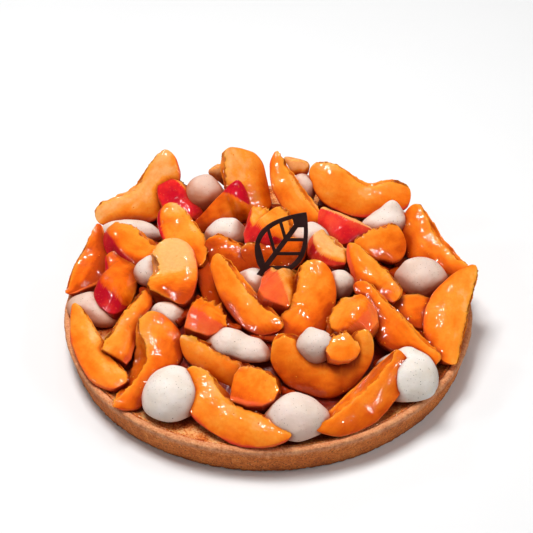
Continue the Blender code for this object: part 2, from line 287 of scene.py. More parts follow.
# Filling
# An apricot compote fills the shell and is heaped in the middle to carry the fruit. It was
# covered with clear amber jelly, which shines in the gaps. Near the rim it is baked and grainy.
FILLING_LEVEL = 14.9 * MM
FILLING_RISE = 13.7 * MM
MOUND_FOOT_RADIUS = 96 * MM
MOUND_TOP_RADIUS = 40 * MM


def filling_height(radius):
    """How high the filling stands at this distance from the middle."""
    share = (MOUND_FOOT_RADIUS - radius) / (MOUND_FOOT_RADIUS - MOUND_TOP_RADIUS)
    share = min(max(share, 0), 1)
    return FILLING_LEVEL + FILLING_RISE * share * share * (3 - 2 * share)


def trait(tree, name):
    """A number that each point of a piece carries."""
    return step(tree, "Attribute", {}, attribute_name=name).outputs["Fac"]


def from_middle(tree):
    """How far the point is from the upright axis, and how high it is."""
    parts = step(tree, "SeparateXYZ", {0: place_on_piece(tree)}).outputs
    flat = step(tree, "CombineXYZ", {0: parts[0], 1: parts[1]}).outputs[0]
    length = step(tree, "VectorMath", {0: flat}, operation="LENGTH").outputs["Value"]
    return length, parts[2]


def amber_jelly():
    """Clear jelly over soft fruit, a deep red-amber darkened by painted shade in the gaps, and golden
    brown near the rim.
    """
    coat, tree, shader = new_coat("amber_jelly")
    pulp = mottle(tree, 9, detail=5)
    fibre = mottle(tree, 1.6, detail=3)
    grain = mottle(tree, 0.9, detail=4)
    share = sum_of(tree, times(tree, pulp, 0.75), fibre, 0.25)
    # The compote's red-amber is set much darker than the fruit's: partly its own colour, partly
    # painted shade for the gaps it shows in.
    deep = tint(
        tree,
        share,
        [(0.1, paint(104, 18, 4)), (0.5, paint(150, 40, 5)), (0.9, paint(196, 78, 12))],
    )
    baked = tint(
        tree,
        sum_of(tree, times(tree, pulp, 0.5), grain, 0.5),
        [(0.25, paint(168, 66, 18)), (0.5, paint(232, 128, 54)), (0.75, paint(252, 188, 122))],
    )
    reach, _ = from_middle(tree)
    outer = ramped(tree, sum_of(tree, reach, pulp, 4 * MM), 80 * MM, 89 * MM)
    colour = between(tree, outer, deep, baked)
    # Painted shade: darker still where the neighbours close in over it.
    gap_shade = ramped(tree, trait(tree, "closed"), 0.25, 0.65, 0, 0.85)
    colour = between(tree, gap_shade, colour, paint(92, 12, 2))
    tree.links.new(colour, shader.inputs["Base Color"])
    shader.inputs["Roughness"].default_value = 0.3
    lumps = relief(tree, mottle(tree, 5, detail=3), 0.5)
    fine = relief(tree, times(tree, grain, outer), 0.22, lumps)
    tree.links.new(fine, shader.inputs["Normal"])
    tree.links.new(relief(tree, mottle(tree, 3, detail=3), 0.2), shader.inputs["Coat Normal"])
    shader.inputs["Coat Weight"].default_value = 1
    shader.inputs["Coat Roughness"].default_value = 0.08
    shader.inputs["Subsurface Weight"].default_value = 0.2
    shader.inputs["Subsurface Scale"].default_value = 3 * MM
    shader.inputs["Subsurface Radius"].default_value = (1, 0.3, 0.08)
    return coat


def near_filling(tree, near, far):
    """1 where a piece meets the filling, falling to 0 this far above it."""
    reach, height = from_middle(tree)
    sockets = {"Value": reach, "From Min": MOUND_TOP_RADIUS, "From Max": MOUND_FOOT_RADIUS}
    sockets.update({"To Min": FILLING_LEVEL + FILLING_RISE, "To Max": FILLING_LEVEL})
    level = step(tree, "MapRange", sockets, interpolation_type="SMOOTHSTEP").outputs[0]
    return ramped(tree, sum_of(tree, height, level, -1), near, far, 1, 0)


wall = RIM_RADIUS - RIM_WIDTH - 0.4 * MM
bottom = FLOOR_THICKNESS + 0.4 * MM
line = [(0, bottom), (wall - 1.5 * MM, bottom), (wall, FILLING_LEVEL - 1.2 * MM)]
for i in range(80):
    radius = wall * (1 - i / 80)
    meniscus = 0.9 * MM * math.exp(-(wall - radius) / (0.9 * MM))
    line.append((radius, filling_height(radius) + meniscus))
bm = spun([*line, (0, filling_height(0))], 200)
for vert in bm.verts:
    spot = vert.co / MM
    if spot.z > 13:
        calm = min((99 - math.hypot(spot.x, spot.y)) / 6, 1)
        lump = 0.8 * noise.noise(spot / 11) + 0.4 * noise.noise(spot / 4)
        vert.co.z += max(calm, 0) * lump * MM
piece_from(bm, "jellied_filling", amber_jelly(), "apricot_filling")

# Apricot slices
# Ripe fruit was cut into wedges round the stone and glazed. Each has two flat cut faces, the
# ragged hollow where the stone was, and a thin skin that goes from orange to deep red.
# A slice runs from its start to its end along the line where its cut faces meet. Roll turns its
# skin round that line from straight up, notch is how deep and rough the hollow is, and wedge is
# the angle between the cut faces. Kept is 1 for a whole slice, and less for a chunk with blunt
# ends. Flesh goes from 0, pale, to 1, amber, at the start and at the end, and blush from 0, an
# orange skin, to 1, crimson. Torn is how ragged the hollow's edge is.
# The camera's place and angles are here because the edges of the slices are read through it.
CAMERA_PLACE = (-0.000458, -0.634902, 0.564448)
CAMERA_PITCH = 39.456
CAMERA_ROLL = -1.0536
CAMERA_LENS = 111.82
SKIN_POINTS = 18
CORNER_POINTS = 5
FACE_POINTS = 14
HOLLOW_POINTS = 14
ALONG = 84
CORNER = 1.1 * MM
FACE_BULGE = 0.07
CHUNK_BULGE = 0.05
ROOF = 0.2
TAPER_LENGTH = 11 * MM
BLUNT_LENGTH = 3.5 * MM
SOFT_ROUNDS = 2
SPREAD = 0.35 * MM

# The edge of the face that is seen, as pixels read off the 533 by 533 photograph.
EDGES = {
    "01": [(167, 150), (174, 155), (178, 165), (180, 176), (176, 192), (166, 209), (150, 222),
           (130, 226), (110, 226), (98, 222), (96, 212), (103, 203), (112, 200), (122, 197),
           (131, 193), (139, 185), (146, 172), (153, 161), (161, 153)],
    "02": [(158, 183), (165, 179), (173, 178), (181, 182), (188, 190), (195, 200), (204, 214),
           (198, 220), (187, 216), (175, 209), (164, 206), (159, 196)],
    "03": [(168, 203), (176, 204), (184, 211), (192, 221), (200, 231), (206, 242), (206, 256),
           (200, 266), (190, 264), (178, 255), (166, 243), (159, 230), (158, 217), (161, 208)],
    "04": [(103, 240), (106, 230), (113, 225), (122, 223), (130, 225), (136, 231), (142, 238),
           (150, 243), (158, 247), (159, 256), (151, 266), (139, 272), (128, 269), (116, 263),
           (106, 252)],
    "05": [(172, 238), (183, 240), (192, 248), (196, 258), (197, 270), (196, 283), (191, 296),
           (183, 304), (172, 300), (160, 293), (148, 287), (151, 279), (159, 270), (157, 260),
           (155, 251), (161, 242)],
    "06": [(97, 224), (103, 228), (107, 245), (108, 262), (107, 275), (99, 283), (84, 289), (74, 293),
           (66, 292), (70, 280), (77, 262), (85, 247), (91, 236)],
    "07": [(106, 256), (113, 252), (121, 256), (128, 258), (136, 264), (138, 280), (134, 296),
           (127, 307), (114, 313), (102, 307), (94, 296), (96, 285), (105, 278), (105, 267)],
    "08": [(74, 303), (70, 314), (70, 330), (73, 345), (79, 363), (92, 380), (108, 388), (118, 387),
           (127, 380), (121, 369), (109, 356), (101, 341), (92, 326), (83, 311)],
    "09": [(146, 290), (152, 295), (152, 305), (146, 314), (138, 328), (136, 343), (131, 358),
           (126, 364), (114, 357), (102, 349), (106, 340), (118, 325), (130, 308), (139, 295)],
    "10": [(153, 311), (163, 314), (172, 321), (179, 331), (182, 343), (182, 355), (176, 366),
           (166, 376), (156, 389), (148, 400), (138, 408), (126, 409), (114, 406), (122, 395),
           (133, 384), (142, 371), (147, 357), (145, 343), (140, 331), (140, 320), (146, 313)],
    "11": [(181, 336), (190, 338), (200, 343), (212, 351), (228, 359), (243, 366), (256, 371),
           (264, 379), (258, 389), (244, 395), (230, 396), (218, 387), (205, 376), (193, 366),
           (184, 357), (180, 346)],
    "12": [(240, 367), (252, 367), (264, 371), (275, 379), (279, 390), (274, 400), (262, 405),
           (247, 404), (230, 399), (231, 388), (234, 375)],
    "13": [(192, 367), (203, 370), (212, 379), (221, 392), (230, 402), (242, 409), (256, 414),
           (270, 421), (282, 430), (291, 436), (278, 443), (258, 447), (238, 445), (221, 438),
           (205, 427), (192, 414), (184, 400), (181, 387), (182, 377), (186, 370)],
    "14": [(184, 326), (187, 314), (192, 303), (198, 299), (202, 296), (206, 302), (212, 302),
           (217, 307), (223, 313), (227, 326), (222, 331), (208, 334), (195, 331)],
    "15": [(217, 254), (224, 260), (231, 269), (238, 280), (247, 292), (258, 303), (271, 313),
           (281, 322), (281, 329), (272, 333), (260, 335), (248, 330), (236, 320), (224, 304),
           (215, 284), (211, 268), (212, 258)],
    "16": [(200, 262), (207, 258), (213, 268), (217, 283), (222, 297), (225, 310), (216, 313),
           (206, 302), (199, 286), (197, 273)],
    "17": [(204, 247), (207, 240), (214, 237), (222, 237), (231, 242), (242, 247), (252, 252),
           (256, 262), (248, 272), (236, 276), (224, 274), (213, 268), (206, 258)],
    "18": [(241, 250), (250, 243), (264, 241), (280, 240), (295, 238), (305, 242), (307, 252),
           (302, 263), (290, 271), (272, 274), (256, 271), (245, 262)],
    "19": [(243, 233), (247, 224), (249, 212), (253, 206), (259, 209), (265, 214), (270, 216),
           (274, 209), (279, 206), (285, 212), (289, 224), (289, 236), (282, 244), (268, 249),
           (252, 249), (245, 242)],
    "20": [(193, 226), (203, 214), (212, 203), (222, 193), (232, 184), (239, 181), (246, 190),
           (251, 208), (250, 217), (244, 222), (228, 224), (210, 229), (200, 232)],
    "21": [(227, 149), (235, 147), (244, 149), (256, 154), (263, 164), (267, 178), (270, 192),
           (271, 206), (262, 214), (248, 214), (236, 206), (228, 194), (226, 178), (225, 162)],
    "22": [(209, 170), (217, 168), (225, 167), (230, 170), (231, 182), (226, 187), (218, 182),
           (210, 176)],
    "23": [(277, 151), (282, 160), (287, 170), (294, 181), (302, 194), (311, 206), (320, 216),
           (317, 223), (308, 226), (297, 222), (286, 211), (276, 195), (271, 178), (270, 163),
           (273, 155)],
    "24": [(318, 222), (319, 211), (324, 207), (334, 211), (347, 217), (360, 223), (372, 229),
           (368, 235), (353, 241), (340, 244), (329, 242), (321, 234)],
    "25": [(284, 158), (292, 161), (300, 161), (307, 164), (309, 169), (307, 174), (300, 177),
           (292, 172)],
    "26": [(380, 316), (390, 312), (401, 318), (412, 328), (421, 339), (424, 351), (413, 347),
           (400, 337), (388, 328)],
    "27": [(311, 167), (316, 163), (326, 163), (336, 165), (346, 172), (356, 182), (364, 187),
           (372, 187), (382, 184), (393, 181), (404, 184), (410, 191), (410, 201), (404, 209),
           (388, 213), (370, 217), (352, 216), (334, 209), (320, 199), (311, 184), (309, 173)],
    "28": [(412, 205), (419, 205), (424, 214), (430, 226), (437, 238), (446, 248), (456, 259),
           (466, 265), (466, 271), (456, 275), (446, 272), (434, 263), (420, 261), (407, 257),
           (405, 245), (402, 234), (401, 220), (406, 211)],
    "29": [(391, 224), (398, 226), (404, 235), (407, 246), (402, 257), (394, 262), (384, 259),
           (374, 257), (364, 251), (355, 243), (362, 237), (372, 232), (383, 228)],
    "30": [(348, 244), (354, 244), (362, 250), (372, 259), (382, 268), (392, 277), (399, 287),
           (400, 295), (393, 302), (384, 298), (374, 290), (364, 290), (353, 288), (350, 272),
           (347, 256)],
    "31": [(308, 252), (309, 240), (314, 233), (322, 229), (328, 236), (336, 244), (345, 250),
           (351, 257), (345, 264), (334, 265), (322, 263), (312, 260)],
    "32": [(313, 259), (323, 262), (331, 270), (336, 282), (337, 296), (334, 310), (328, 324),
           (318, 336), (304, 342), (288, 343), (272, 341), (260, 337), (264, 330), (274, 324),
           (284, 313), (293, 300), (298, 287), (300, 272), (305, 263)],
    "33": [(259, 288), (262, 277), (266, 270), (273, 265), (279, 271), (286, 273), (297, 271),
           (301, 280), (298, 292), (289, 306), (275, 301), (265, 296)],
    "34": [(331, 328), (330, 316), (337, 305), (345, 298), (353, 297), (361, 294), (370, 299),
           (377, 309), (378, 321), (369, 331), (354, 335), (340, 334)],
    "35": [(354, 284), (361, 281), (369, 284), (385, 302), (401, 317), (418, 336), (430, 348),
           (440, 357), (433, 366), (421, 361), (405, 354), (388, 346), (376, 336), (372, 318),
           (366, 300), (356, 292)],
    "36": [(391, 305), (397, 300), (404, 296), (414, 294), (426, 296), (438, 300), (444, 310),
           (438, 322), (426, 328), (414, 326), (404, 319), (396, 312)],
    "37": [(476, 266), (466, 266), (455, 272), (444, 281), (434, 291), (427, 304), (424, 319),
           (425, 334), (431, 346), (438, 356), (445, 362), (456, 363), (460, 344), (465, 323),
           (469, 303), (474, 283)],
    "38": [(271, 352), (273, 343), (279, 338), (287, 337), (295, 339), (302, 345), (308, 353),
           (316, 359), (326, 361), (338, 358), (347, 350), (352, 340), (358, 332), (366, 331),
           (372, 337), (374, 348), (372, 360), (364, 374), (352, 388), (336, 397), (322, 398),
           (306, 393), (289, 386), (277, 374), (271, 362)],
    "39": [(326, 351), (329, 343), (333, 337), (340, 334), (347, 332), (351, 337), (354, 341),
           (358, 342), (361, 349), (358, 356), (350, 360), (340, 361), (331, 359)],
    "40": [(398, 350), (392, 361), (385, 370), (376, 381), (364, 392), (351, 403), (338, 414),
           (325, 422), (315, 428), (323, 433), (338, 436), (354, 433), (369, 426), (384, 414),
           (396, 400), (405, 385), (410, 371), (407, 358)],
}

# How much of the width that is seen is skin, at the start and at the end.
SKIN_SEEN = {
    "01": (0.02, 0.07),
    "02": (0.8, 0.85),
    "03": (0.12, 0.04),
    "04": (0.5, 0.04),
    "06": (0.1, 0.1),
    "07": (0.12, 0.34),
    "08": (0.02, 0.05),
    "09": (0.0, 0.16),
    "12": (0.04, 0.1),
    "13": (0.02, 0.03),
    "14": (0.5, 0.32),
    "15": (0.0, 0.03),
    "19": (0.45, 0.3),
    "20": (-1.2, 0.75),
    "24": (0.7, 0.82),
    "27": (0.02, 0.1),
    "30": (0.22, 0.06),
    "31": (0.35, 0.12),
    "33": (0.42, 0.4),
    "34": (0.3, 0.25),
    "35": (0.0, 0.0),
    "36": (0.03, 0.04),
    "37": (0.02, 0.02),
    "40": (0.03, 0.02),
}

Slice = namedtuple("Slice", "name start end roll notch wedge kept flesh blush torn")
SLICES = [
    # Back left, leaning on the rim
    Slice("01", (-89, 67, 28), (-52, 88, 50), 155, 7, 52, 1, (0.25, 0.28), 0.5, 0.8),
    Slice("02", (-54, 80, 39), (-33, 55, 28), 125, 1, 70, 0.8, (0.3, 0.3), 0.86, 1),
    Slice("03", (-49, 54, 43), (-31, 14, 38), 135, 1, 65, 1, (0.45, 0.5), 0.95, 0.7),
    # Left side
    Slice("04", (-81, 46, 33), (-53, 30, 36), 140, 6, 60, 1, (0.7, 0.6), 1, 1.3),
    Slice("05", (-49, 18, 47), (-51, -21, 36), -122, 6, 62, 1, (-0.9, 1.3), 0.45, 1.2),
    Slice("06", (-89, 52, 31), (-104, 7, 23), -125, 0, 60, 1, (1.05, 0.9), 0.15, 0.3),
    Slice("07", (-80, 18, 30), (-58, 3, 28), 130, 2, 70, 1, (0.95, 0.6), 1, 1.4),
    Slice("08", (-96, -10, 28), (-68, -58, 21), 135, 4, 65, 1, (0.35, 0.42), 0.3, 0.5),
    Slice("09", (-58, -9, 36), (-79, -42, 26), -145, 0, 75, 0.75, (0.5, 0.5), 0.35, 0.9),
    Slice("10", (-59, -25, 36), (-74, -75, 19), -135, 8, 65, 1, (0.5, 0.7), 0.25, 0.9),
    # Front left and the middle
    Slice("11", (-42, -38, 36), (2, -66, 28), 170, 3, 75, 1, (0.25, 0.25), 0.2, 1.2),
    Slice("12", (7, -66, 32), (-16, -61, 31), -140, 1, 80, 0.65, (0.4, 0.9), 0.35, 1),
    Slice("13", (-37, -62, 32), (9, -99, 23), 146, 4, 60, 1, (0.3, 0.45), 0.5, 0.7),
    Slice("14", (-42, -18, 37), (-21, -25, 37), 135, 2, 80, 0.7, (0.65, 0.55), 0.34, 2),
    Slice("15", (-23, 3, 48), (7, -39, 37), 155, 4, 75, 1, (0.5, 0.55), 0.4, 0.9),
    Slice("16", (-36, 13, 35), (-22, -22, 29), 120, 1, 70, 1, (0.9, 0.9), 0.4, 0.5),
    Slice("17", (-32, 23, 41), (-2, 8, 38), 165, 2, 75, 1, (0.9, 0.95), 0.4, 0.8),
    Slice("18", (-8, 12, 39), (22, 22, 41), 160, 1, 75, 1, (1.1, 1.0), 0.3, 0.5),
    # Back, where the slices stand up
    Slice("19", (-8, 46, 47), (17, 28, 44), 140, 1, 75, 0.7, (0.45, 0.55), 0.85, 2),
    Slice("20", (-35, 49, 31), (-8, 54, 36), -60, 2, 45, 1, (0.95, 0.6), 1, 0.8),
    Slice("21", (-20, 86, 52), (-9, 61, 27), -118, 6, 50, 1, (0.2, 0.45), 0.4, 1),
    # Slices 22 and 25 get flesh paler than the pale end, as painted light for tips that sit in shade.
    Slice("22", (-30, 85, 40), (-13, 73, 36), -175, 1, 32, 1, (-0.2, -0.1), 0.4, 0.4),
    Slice("23", (7, 81, 53), (30, 53, 33), 150, 2, 65, 1, (0.45, 0.4), 0.35, 0.8),
    Slice("24", (27, 46, 42), (55, 32, 38), 132, 1, 70, 1, (0.0, 0.1), 0.74, 0.4),
    Slice("25", (10, 89, 42), (27, 83, 40), -175, 1, 65, 1, (-0.1, 0.0), 0.4, 0.4),
    Slice("27", (27, 84, 44), (78, 70, 38), 160, 7, 55, 1, (0.35, 0.6), 0.6, 0.6),
    # Right side and the middle
    Slice("28", (79, 49, 42), (102, 14, 28), 155, 4, 65, 1, (0.6, 0.65), 0.25, 0.7),
    Slice("29", (43, 19, 39), (71, 39, 38), 160, 1, 70, 1, (0.68, 0.58), 0.2, 1.1),
    Slice("30", (40, 13, 45), (66, -19, 36), 140, 0, 70, 1, (0.5, 0.5), 0.45, 0.7),
    Slice("31", (24, 24, 46), (42, 10, 42), 140, 2, 75, 0.75, (0.05, 0.15), 0.7, 1.2),
    Slice("32", (21, -4, 48), (-10, -42, 32), -140, 4, 65, 1, (0.5, 0.75), 0.2, 0.8),
    Slice("33", (-1, -4, 42), (14, -20, 38), 115, 1, 80, 0.7, (0.1, 0.4), 0.42, 2),
    Slice("34", (46, -20, 42), (28, -41, 37), -125, 2, 75, 0.75, (0.6, 0.6), 0.28, 0.8),
    Slice("35", (41, -17, 42), (82, -54, 25), 140, 0, 70, 1, (0.75, 0.7), 0.2, 0.7),
    Slice("26", (49, -8, 26), (76, -35, 24), 160, 1, 70, 1, (1.2, 1.2), 0.4, 0.4),
    Slice("36", (60, -16, 31), (89, -6, 30), 145, 1, 75, 1, (0.8, 0.75), 0.35, 0.4),
    Slice("37", (105, 7, 34), (91, -49, 20), 110, 0, 60, 1, (0.45, 0.5), 0.4, 0.6),
    # Front right
    Slice("38", (1, -53, 40), (50, -54, 40), 165, 9, 60, 1, (0.62, 0.5), 0.2, 0.8),
    Slice("39", (27, -61, 41), (50, -51, 41), 145, 2, 70, 0.8, (0.4, 0.55), 0.2, 1.8),
    Slice("40", (60, -56, 37), (20, -95, 23), -165, 5, 75, 1, (0.75, 0.65), 0.3, 0.7),
]


def glazed_apricot():
    """Wet orange flesh, a fibrous hollow and blushed skin, all under a thin clear glaze."""
    coat, tree, shader = new_coat("glazed_apricot")
    hollow = trait(tree, "hollow")
    depth = trait(tree, "depth")
    blush = trait(tree, "blush")
    broad = mottle(tree, 12, -0.5, 0.5, detail=3)
    # Painted shade: low in the middle of the heap, near the filling, the flesh is made riper and
    # darker, and it darkens too where its neighbours close in over it. Near the rim this fades out.
    heap = ramped(tree, from_middle(tree)[0], 62 * MM, 82 * MM, 1, 0.12)
    wet_and_low_shade = times(tree, near_filling(tree, 0, 12 * MM), heap)
    grain = mottle(tree, 1.4, detail=3)
    sockets = {0: times(tree, trait(tree, "along"), 0.4), 1: trait(tree, "across")}
    sockets[2] = times(tree, trait(tree, "flesh"), 0.05)
    course = step(tree, "CombineXYZ", sockets).outputs[0]
    streak = mottle(tree, 3.2, -0.5, 0.5, detail=3, where=course)
    ripe = sum_of(tree, trait(tree, "flesh"), broad, 0.38)
    ripe = sum_of(tree, ripe, streak, 0.22)
    ripe = sum_of(tree, ripe, wet_and_low_shade, 0.3)
    ripe = sum_of(tree, ripe, ramped(tree, depth, 0.1, 1, -0.16, 0.16))
    ripe = sum_of(tree, ripe, ramped(tree, trait(tree, "closed"), 0.02, 0.4, -0.08, 0.34))
    flesh = tint(
        tree,
        ripe,
        [
            (0.0, paint(255, 184, 112)),
            (0.25, paint(255, 154, 48)),
            (0.52, paint(250, 127, 22)),
            (0.8, paint(225, 94, 7)),
            (1.0, paint(184, 63, 3)),
        ],
    )
    flesh = between(tree, times(tree, grain, 0.2), flesh, paint(228, 84, 8))
    fibres = mottle(tree, 2.6, detail=4)
    torn = times(tree, hollow, ramped(tree, fibres, 0, 1, 0.15, 0.75))
    flesh = between(tree, torn, flesh, paint(204, 92, 10))
    edge = times(tree, trait(tree, "tear"), 0.55)
    flesh = between(tree, edge, flesh, paint(255, 164, 50))
    brown = ramped(tree, sum_of(tree, trait(tree, "tear"), fibres, 0.5), 1.1, 1.35, 0, 0.7)
    flesh = between(tree, brown, flesh, paint(190, 88, 22))
    seam = sum_of(tree, sum_of(tree, depth, trait(tree, "peeled")), broad, 0.06)
    skin = ramped(tree, seam, 1.03, 1.08)
    rind = times(tree, ramped(tree, seam, 0.9, 1.04), ramped(tree, blush, 0, 1, 0.02, 0.4))
    flesh = between(tree, rind, flesh, paint(226, 66, 22))
    redness = sum_of(tree, sum_of(tree, blush, broad, 0.35), grain, 0.08)
    peel = tint(
        tree,
        redness,
        [
            (0.0, paint(252, 140, 40)),
            (0.35, paint(244, 106, 46)),
            (0.6, paint(234, 78, 46)),
            (0.85, paint(222, 36, 34)),
            (1.0, paint(194, 10, 34)),
        ],
    )
    dots = step(tree, "TexVoronoi", {"Vector": place_on_piece(tree), "Scale": 700.0})
    pale = ramped(tree, dots.outputs[0], 0.08, 0.2, 0.3, 0)
    peel = between(tree, pale, peel, paint(250, 150, 80))
    colour = between(tree, skin, flesh, peel)
    # Painted shade: the colour goes red-brown just above the filling in the middle of the heap, and
    # where the neighbours close in over it.
    shade = times(tree, near_filling(tree, -1 * MM, 6 * MM), times(tree, heap, 0.4))
    colour = between(tree, shade, colour, paint(128, 32, 4))
    gap_shade = ramped(tree, trait(tree, "closed"), 0.1, 0.52, 0, 0.9)
    colour = between(tree, gap_shade, colour, paint(134, 30, 2))
    tree.links.new(colour, shader.inputs["Base Color"])
    dry = sum_of(tree, ramped(tree, grain, 0, 1, 0.28, 0.42), hollow, 0.12)
    tree.links.new(dry, shader.inputs["Roughness"])
    rough = relief(tree, sum_of(tree, times(tree, grain, 0.4), times(tree, hollow, fibres), 1), 0.07)
    tree.links.new(rough, shader.inputs["Normal"])
    glaze = relief(tree, mottle(tree, 2.8, detail=1), 0.12)
    tree.links.new(glaze, shader.inputs["Coat Normal"])
    shader.inputs["Specular IOR Level"].default_value = 0.1
    shader.inputs["Coat Weight"].default_value = 1
    shader.inputs["Coat Roughness"].default_value = 0.05
    shader.inputs["Subsurface Weight"].default_value = 0.4
    shader.inputs["Subsurface Scale"].default_value = 3 * MM
    shader.inputs["Subsurface Radius"].default_value = (1, 0.4, 0.1)
    return coat


def slice_frame(piece):
    """Where a slice lies: X along it, Z towards its skin."""
    start = Vector(piece.start) * MM
    end = Vector(piece.end) * MM
    along = (end - start).normalized()
    up = (Vector((0, 0, 1)) - along * along.z).normalized()
    skin = Matrix.Rotation(math.radians(piece.roll), 3, along) @ up
    side = skin.cross(along)
    place = Matrix((along, side, skin)).transposed().to_4x4()
    place.translation = start
    return place


def sight(pixel):
    """The way from the camera through a pixel of the photograph."""
    pitch, roll = math.radians(CAMERA_PITCH), math.radians(CAMERA_ROLL)
    ahead = Vector((0, math.cos(pitch), -math.sin(pitch)))
    upward = Vector((0, math.sin(pitch), math.cos(pitch)))
    right = math.cos(roll) * Vector((1, 0, 0)) + math.sin(roll) * upward
    above = math.cos(roll) * upward - math.sin(roll) * Vector((1, 0, 0))
    reach = 533 * CAMERA_LENS / 36
    return ahead + right * ((pixel[0] - 266.5) / reach) + above * ((266.5 - pixel[1]) / reach)


def smooth_ring(points, angular):
    """A closed line through the points, eight steps to each, smooth or with corners."""
    line = []
    for i, point in enumerate(points):
        a, b, c, d = (Vector(points[(i + k) % len(points)]) for k in (-1, 0, 1, 2))
        for j in range(8):
            t = j / 8
            if angular:
                line.append(b.lerp(c, t))
                continue
            line.append(0.5 * (2 * b + (c - a) * t + (2 * a - 5 * b + 4 * c - d) * t * t
                               + (3 * b - a - 3 * c + d) * t**3))
    return line


def drawn_profile(piece, place):
    """How far the inner and outer edges stand from the axis, from the edge seen in the photograph.
    It gives stations of (x, inner, outer), the axis moved so that every reach is positive, and
    which of the two cut faces is the one seen."""
    half = math.radians(piece.wedge) / 2
    along, side, skin, start = (place.col[i].to_3d() for i in range(4))
    lens = Vector(CAMERA_PLACE)
    best = max((1, -1), key=lambda s: (side * s * math.cos(half) - skin * math.sin(half)).dot(
        lens - start))
    out = skin * math.cos(half) + side * best * math.sin(half)
    facing = along.cross(out)
    ring = []
    for pixel in smooth_ring(EDGES[piece.name], piece.kept < 1):
        ray = sight(pixel)
        point = lens + ray * ((start - lens).dot(facing) / ray.dot(facing)) - start
        ring.append((point.dot(along), point.dot(out)))
    low = min(reach for _, reach in ring) - 0.8 * MM - SPREAD
    first, last = min(x for x, _ in ring), max(x for x, _ in ring)
    stations = []
    for i in range(ALONG + 1):
        x = first + (last - first) * (1 - math.cos(math.pi * i / ALONG)) / 2
        x = min(max(x, first + 0.01 * MM), last - 0.01 * MM)
        hits = []
        for (x0, r0), (x1, r1) in zip(ring, ring[1:] + ring[:1]):
            if (x0 - x) * (x1 - x) <= 0 and x0 != x1:
                hits.append(r0 + (r1 - r0) * (x - x0) / (x1 - x0))
        stations.append((x, min(hits) - low - SPREAD, max(hits) - low + SPREAD))
    moved = place.copy()
    moved.translation = start + out * low
    return stations, moved, best


def end_taper(piece, x, first, last):
    """How thick the slice is here, from near 0 at a rounded end to 1 where it is full."""
    longest = TAPER_LENGTH if piece.kept == 1 else BLUNT_LENGTH
    reach = min(longest, 0.35 * (last - first))
    way = max(min((x - first) / reach, (last - x) / reach, 1), 0)
    return max(math.sqrt(1 - (1 - way) ** 2), 0.12)


def slice_section(piece, seen, taper, inner, outer, bare):
    """Points round one cross section, as across, up, skin, hollow, depth and tear."""
    half = math.radians(piece.wedge) / 2
    far = half * (1 - 2 * taper)
    low, high = (far, half) if seen > 0 else (-half, -far)
    room = outer - inner
    fillet = min(CORNER, 0.3 * room, 0.25 * outer * (high - low))
    swing = fillet / outer

    def cut_face(turn, way):
        """One cut face, from the skin to the hollow."""
        lane = []
        for i in range(1, CORNER_POINTS + 1):
            bend = math.pi / 2 * i / (CORNER_POINTS + 1)
            reach = outer - fillet * (1 - math.cos(bend))
            angle = turn - way * swing * (1 - math.sin(bend))
            rind = 1 if i < 2 else 0
            depth = 1.12 - 0.12 * i / CORNER_POINTS
            lane.append((reach * math.sin(angle), reach * math.cos(angle), rind, 0, depth, 0))
        for i in range(FACE_POINTS):
            depth = 1 - i / (FACE_POINTS - 1)
            reach = inner + (outer - fillet - inner) * depth
            bulge = FACE_BULGE if piece.kept == 1 else CHUNK_BULGE
            swell = bulge * room * math.sin(math.pi * depth) ** 0.8 * taper
            if way == seen and bare > 0.1:
                slope = min(depth / (1 - bare), (1 - depth) / bare)
                swell += ROOF * min(bare / 0.3, 1) * room * slope * taper
            across = reach * math.sin(turn) + way * math.cos(turn) * swell
            up = reach * math.cos(turn) - way * math.sin(turn) * swell
            lane.append((across, up, 0, 0, depth, max(1 - depth / 0.16, 0)))
        return lane

    points = []
    for i in range(SKIN_POINTS):
        turn = high - swing - (high - low - 2 * swing) * i / (SKIN_POINTS - 1)
        points.append((outer * math.sin(turn), outer * math.cos(turn), 1, 0, 1.15, 0))
    points += cut_face(low, -1)
    raw = min(piece.notch / 3 + piece.torn / 3, 1) * min(room / (6 * MM), 1)
    for i in range(HOLLOW_POINTS):
        way = (i + 0.6) / (HOLLOW_POINTS + 0.2)
        bow = 1 - (2 * way - 1) ** 2
        reach = min(inner + (0.05 * room + 0.03 * inner) * bow, outer)
        turn = low + (high - low) * way
        deep = raw * min(2.4 * way, 2.4 * (1 - way), 1)
        tear = max(1 - 6 * min(way, 1 - way), 0)
        points.append((reach * math.sin(turn), reach * math.cos(turn), 0, deep, 0, tear))
    return points + cut_face(high, 1)[::-1]


def resting_height(radius):
    """The lowest that fruit reaches: pressed a little into the filling, or on the rim."""
    share = min(max((radius - 96 * MM) / (2 * MM), 0), 1)
    inside = filling_height(radius) - 4 * MM
    return inside + (SHELL_HEIGHT - 0.5 * MM - inside) * share


